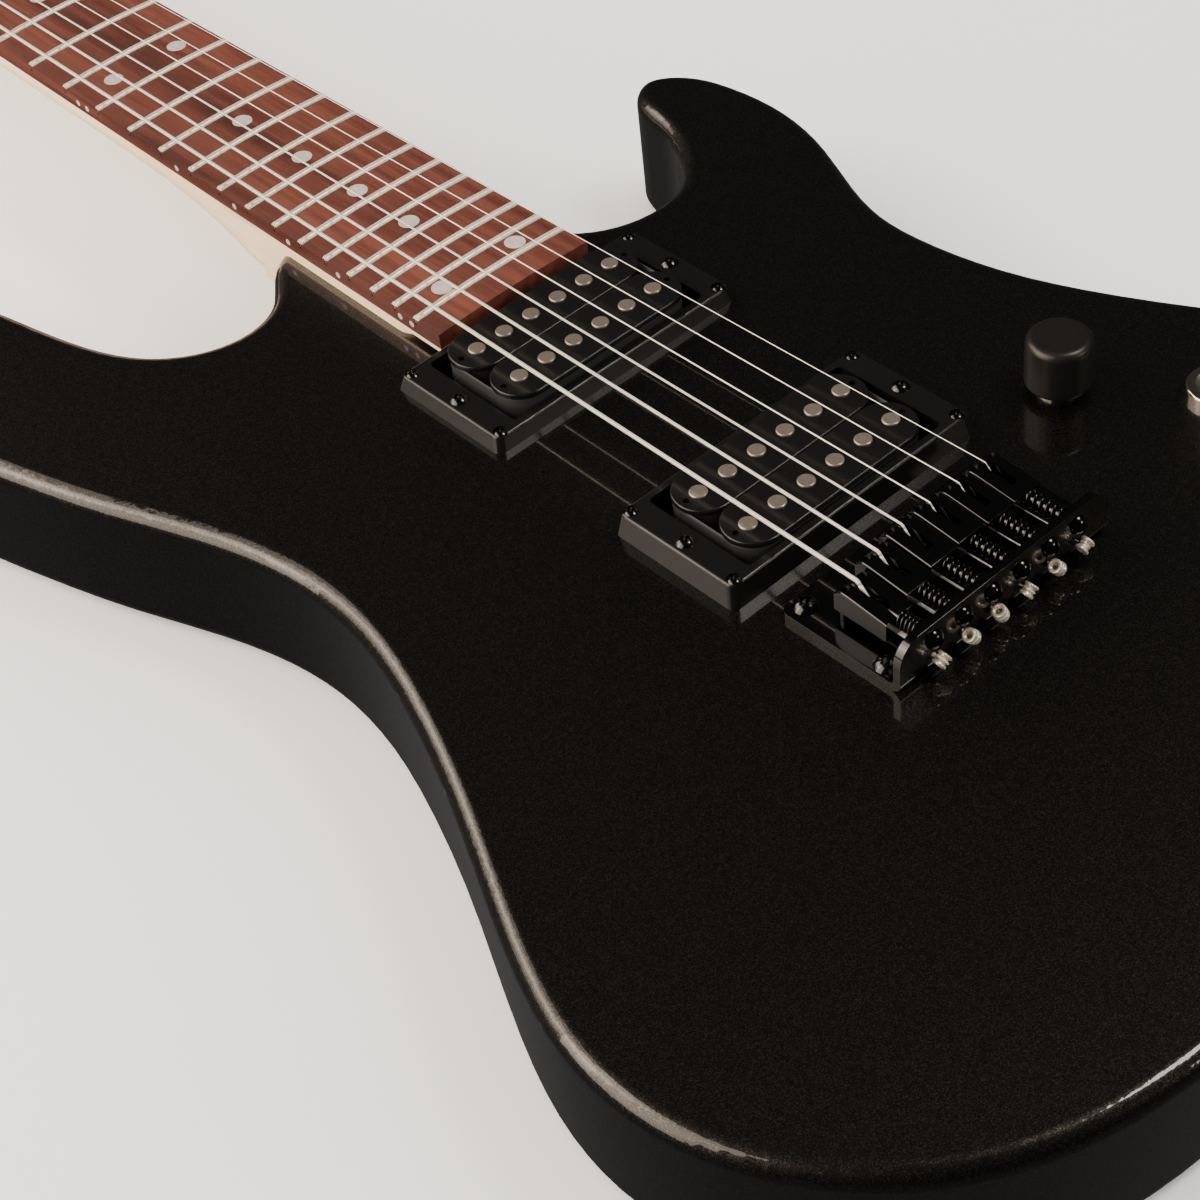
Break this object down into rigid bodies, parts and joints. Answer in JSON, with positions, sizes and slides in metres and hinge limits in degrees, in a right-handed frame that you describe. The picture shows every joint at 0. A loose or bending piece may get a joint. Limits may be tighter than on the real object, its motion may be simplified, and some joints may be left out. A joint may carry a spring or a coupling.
{
  "type": "electric guitar",
  "caption": "Solid body electric guitar, double cutaway, bolt-on maple neck, dark fretboard, two twin-coil pickups, fixed bridge with adjustable saddles.",
  "frame": {"origin": "on the flat back of the body, on the centre line, under the end of the vibrating length at the bridge", "axes": "+X towards the headstock, +Y towards the bass side, +Z out of the front of the body"},
  "size_m": [0.9957, 0.3208, 0.062],
  "materials": {
    "body_lacquer": "high gloss metallic black lacquer",
    "maple": "satin",
    "rosewood": "satin, open grain",
    "fret_wire": "polished nickel silver",
    "pearloid": "satin",
    "nut_black": "satin",
    "steel": "satin",
    "black_metal": "gloss black plating",
    "black_plastic": "satin",
    "string_steel": "bright",
    "ball_brass": "bright",
    "pole_steel": "nickel plated",
    "coil_tape": "matt tape",
    "nickel": "polished",
    "wire_cloth": "woven"
  },
  "bodies": {
    "root": {"body": "body_lacquer", "bridge_plate": "black_metal", "control_casings": "steel", "control_cover": "black_plastic", "fretboard": "rosewood", "frets": "fret_wire", "hardware_screws": "black_metal", "headstock_screws": "black_metal", "inlay_dots": "pearloid", "intonation_springs": "black_metal", "jack_plate": "black_metal", "neck": "maple", "neck_plate": "black_metal", "nut": "nut_black", "output_jack": "nickel", "panel_nuts": "nickel", "pickup_bases": "steel", "pickup_bobbins": "black_plastic", "pickup_coils": "coil_tape", "pickup_height_screws": "black_metal", "pickup_height_springs": "steel", "pickup_poles": "pole_steel", "pickup_rings": "black_plastic", "strap_buttons": "black_metal", "string_ball_ends": "ball_brass", "string_trees": "black_metal", "strings": "string_steel", "trim_screws": "black_metal", "truss_rod": "steel", "truss_rod_cover": "black_plastic", "tuner_bushings": "black_metal", "tuner_housings": "black_metal", "wiring": "wire_cloth"},
    "tuner_button_1": {"tuner_button_1": "black_metal"},
    "tuner_post_1": {"tuner_post_1": "black_metal"},
    "intonation_screw_1": {"intonation_screw_1": "black_metal"},
    "saddle_1": {"saddle_1": "black_metal"},
    "tuner_button_2": {"tuner_button_2": "black_metal"},
    "tuner_post_2": {"tuner_post_2": "black_metal"},
    "intonation_screw_2": {"intonation_screw_2": "black_metal"},
    "saddle_2": {"saddle_2": "black_metal"},
    "tuner_button_3": {"tuner_button_3": "black_metal"},
    "tuner_post_3": {"tuner_post_3": "black_metal"},
    "intonation_screw_3": {"intonation_screw_3": "black_metal"},
    "saddle_3": {"saddle_3": "black_metal"},
    "tuner_button_4": {"tuner_button_4": "black_metal"},
    "tuner_post_4": {"tuner_post_4": "black_metal"},
    "intonation_screw_4": {"intonation_screw_4": "black_metal"},
    "saddle_4": {"saddle_4": "black_metal"},
    "tuner_button_5": {"tuner_button_5": "black_metal"},
    "tuner_post_5": {"tuner_post_5": "black_metal"},
    "intonation_screw_5": {"intonation_screw_5": "black_metal"},
    "saddle_5": {"saddle_5": "black_metal"},
    "tuner_button_6": {"tuner_button_6": "black_metal"},
    "tuner_post_6": {"tuner_post_6": "black_metal"},
    "intonation_screw_6": {"intonation_screw_6": "black_metal"},
    "saddle_6": {"saddle_6": "black_metal"},
    "volume_knob": {"volume_knob": "black_metal"},
    "tone_knob": {"tone_knob": "black_metal"},
    "switch_lever": {"switch_lever": "nickel"}
  },
  "joints": [
    {"name": "tuner_1_turn", "type": "hinge", "parent": "root", "child": "tuner_button_1", "pos_m": [0.81072, -0.01636, 0.0185], "axis": [0.28, 0.96, 0], "continuous": true},
    {"name": "string_post_1_turn", "type": "hinge", "parent": "root", "child": "tuner_post_1", "pos_m": [0.804, -0.0144, 0.03], "axis": [0, 0, 1], "continuous": true, "deforming": ["strings"]},
    {"name": "intonation_1_turn", "type": "hinge", "parent": "root", "child": "intonation_screw_1", "pos_m": [-0.0289, -0.02612, 0.0522], "axis": [1, 0, 0], "range_deg": [-2160, 2160]},
    {"name": "saddle_1_slide", "type": "slide", "parent": "root", "child": "saddle_1", "axis": [1, 0, 0], "range_m": [-0.003, 0.0018], "deforming": ["intonation_springs", "strings"]},
    {"name": "tuner_2_turn", "type": "hinge", "parent": "root", "child": "tuner_button_2", "pos_m": [0.78672, -0.00936, 0.0185], "axis": [0.28, 0.96, 0], "continuous": true},
    {"name": "string_post_2_turn", "type": "hinge", "parent": "root", "child": "tuner_post_2", "pos_m": [0.78, -0.0074, 0.03], "axis": [0, 0, 1], "continuous": true, "deforming": ["strings"]},
    {"name": "intonation_2_turn", "type": "hinge", "parent": "root", "child": "intonation_screw_2", "pos_m": [-0.0289, -0.01568, 0.0522], "axis": [1, 0, 0], "range_deg": [-2160, 2160]},
    {"name": "saddle_2_slide", "type": "slide", "parent": "root", "child": "saddle_2", "axis": [1, 0, 0], "range_m": [-0.003, 0.0018], "deforming": ["intonation_springs", "strings"]},
    {"name": "tuner_3_turn", "type": "hinge", "parent": "root", "child": "tuner_button_3", "pos_m": [0.76272, -0.00236, 0.0185], "axis": [0.28, 0.96, 0], "continuous": true},
    {"name": "string_post_3_turn", "type": "hinge", "parent": "root", "child": "tuner_post_3", "pos_m": [0.756, -0.0004, 0.03], "axis": [0, 0, 1], "continuous": true, "deforming": ["strings"]},
    {"name": "intonation_3_turn", "type": "hinge", "parent": "root", "child": "intonation_screw_3", "pos_m": [-0.0289, -0.00522, 0.0522], "axis": [1, 0, 0], "range_deg": [-2160, 2160]},
    {"name": "saddle_3_slide", "type": "slide", "parent": "root", "child": "saddle_3", "axis": [1, 0, 0], "range_m": [-0.003, 0.0018], "deforming": ["intonation_springs", "strings"]},
    {"name": "tuner_4_turn", "type": "hinge", "parent": "root", "child": "tuner_button_4", "pos_m": [0.73872, 0.00464, 0.0185], "axis": [0.28, 0.96, 0], "continuous": true},
    {"name": "string_post_4_turn", "type": "hinge", "parent": "root", "child": "tuner_post_4", "pos_m": [0.732, 0.0066, 0.03], "axis": [0, 0, 1], "continuous": true, "deforming": ["strings"]},
    {"name": "intonation_4_turn", "type": "hinge", "parent": "root", "child": "intonation_screw_4", "pos_m": [-0.0289, 0.00522, 0.0522], "axis": [1, 0, 0], "range_deg": [-2160, 2160]},
    {"name": "saddle_4_slide", "type": "slide", "parent": "root", "child": "saddle_4", "axis": [1, 0, 0], "range_m": [-0.003, 0.0018], "deforming": ["intonation_springs", "strings"]},
    {"name": "tuner_5_turn", "type": "hinge", "parent": "root", "child": "tuner_button_5", "pos_m": [0.71472, 0.01164, 0.0185], "axis": [0.28, 0.96, 0], "continuous": true},
    {"name": "string_post_5_turn", "type": "hinge", "parent": "root", "child": "tuner_post_5", "pos_m": [0.708, 0.0136, 0.03], "axis": [0, 0, 1], "continuous": true, "deforming": ["strings"]},
    {"name": "intonation_5_turn", "type": "hinge", "parent": "root", "child": "intonation_screw_5", "pos_m": [-0.0289, 0.01568, 0.0522], "axis": [1, 0, 0], "range_deg": [-2160, 2160]},
    {"name": "saddle_5_slide", "type": "slide", "parent": "root", "child": "saddle_5", "axis": [1, 0, 0], "range_m": [-0.003, 0.0018], "deforming": ["intonation_springs", "strings"]},
    {"name": "tuner_6_turn", "type": "hinge", "parent": "root", "child": "tuner_button_6", "pos_m": [0.69072, 0.01864, 0.0185], "axis": [0.28, 0.96, 0], "continuous": true},
    {"name": "string_post_6_turn", "type": "hinge", "parent": "root", "child": "tuner_post_6", "pos_m": [0.684, 0.0206, 0.03], "axis": [0, 0, 1], "continuous": true, "deforming": ["strings"]},
    {"name": "intonation_6_turn", "type": "hinge", "parent": "root", "child": "intonation_screw_6", "pos_m": [-0.0289, 0.02612, 0.0522], "axis": [1, 0, 0], "range_deg": [-2160, 2160]},
    {"name": "saddle_6_slide", "type": "slide", "parent": "root", "child": "saddle_6", "axis": [1, 0, 0], "range_m": [-0.003, 0.0018], "deforming": ["intonation_springs", "strings"]},
    {"name": "volume_turn", "type": "hinge", "parent": "root", "child": "volume_knob", "pos_m": [0.0154, -0.0723, 0.05], "axis": [0, 0, -1], "range_deg": [0, 300]},
    {"name": "tone_turn", "type": "hinge", "parent": "root", "child": "tone_knob", "pos_m": [-0.048, -0.117, 0.05], "axis": [0, 0, -1], "range_deg": [0, 300]},
    {"name": "switch_throw", "type": "hinge", "parent": "root", "child": "switch_lever", "pos_m": [-0.017, -0.098, 0.038], "axis": [0, 1, 0], "range_deg": [-12, 12]}
  ],
  "couplings": [
    {"joint": "string_post_1_turn", "follows": "tuner_1_turn", "ratio": 0.066667},
    {"joint": "intonation_1_turn", "follows": "saddle_1_slide", "rad_per_m": 12566},
    {"joint": "string_post_2_turn", "follows": "tuner_2_turn", "ratio": 0.066667},
    {"joint": "intonation_2_turn", "follows": "saddle_2_slide", "rad_per_m": 12566},
    {"joint": "string_post_3_turn", "follows": "tuner_3_turn", "ratio": 0.066667},
    {"joint": "intonation_3_turn", "follows": "saddle_3_slide", "rad_per_m": 12566},
    {"joint": "string_post_4_turn", "follows": "tuner_4_turn", "ratio": 0.066667},
    {"joint": "intonation_4_turn", "follows": "saddle_4_slide", "rad_per_m": 12566},
    {"joint": "string_post_5_turn", "follows": "tuner_5_turn", "ratio": 0.066667},
    {"joint": "intonation_5_turn", "follows": "saddle_5_slide", "rad_per_m": 12566},
    {"joint": "string_post_6_turn", "follows": "tuner_6_turn", "ratio": 0.066667},
    {"joint": "intonation_6_turn", "follows": "saddle_6_slide", "rad_per_m": 12566}
  ]
}
